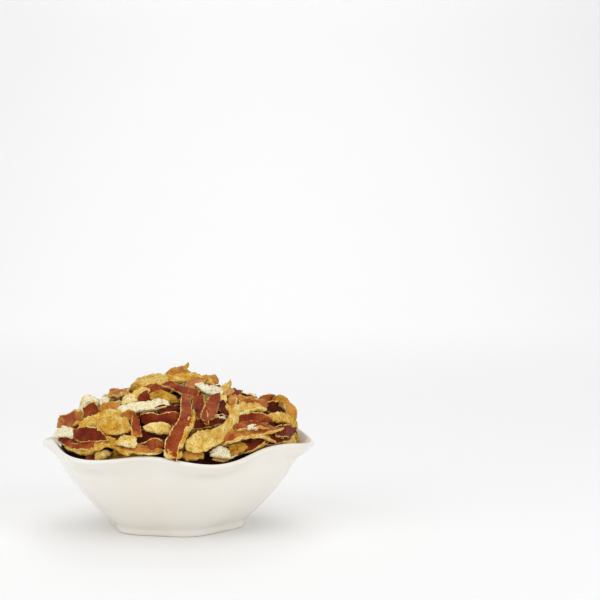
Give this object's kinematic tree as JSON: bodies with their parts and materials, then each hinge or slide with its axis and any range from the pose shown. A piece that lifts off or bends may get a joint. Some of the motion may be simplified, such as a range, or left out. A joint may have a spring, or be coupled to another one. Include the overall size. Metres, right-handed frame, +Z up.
{
  "type": "dried orange peel in a bowl",
  "caption": "Small white lobed bowl heaped with short curled strips of dried orange peel.",
  "frame": {"origin": "centre of the bowl's foot, on the surface it stands on", "axes": "+Z up; -Y is the front, the side the strip hangs over; +X to the right seen from the front"},
  "size_m": [0.1156, 0.1071, 0.0686],
  "materials": {
    "glaze": "smooth white glaze",
    "peel": "dried citrus rind, matte, pale pith on its back"
  },
  "bodies": {
    "root": {"bowl": "glaze", "peel_heap": "peel"}
  },
  "joints": []
}
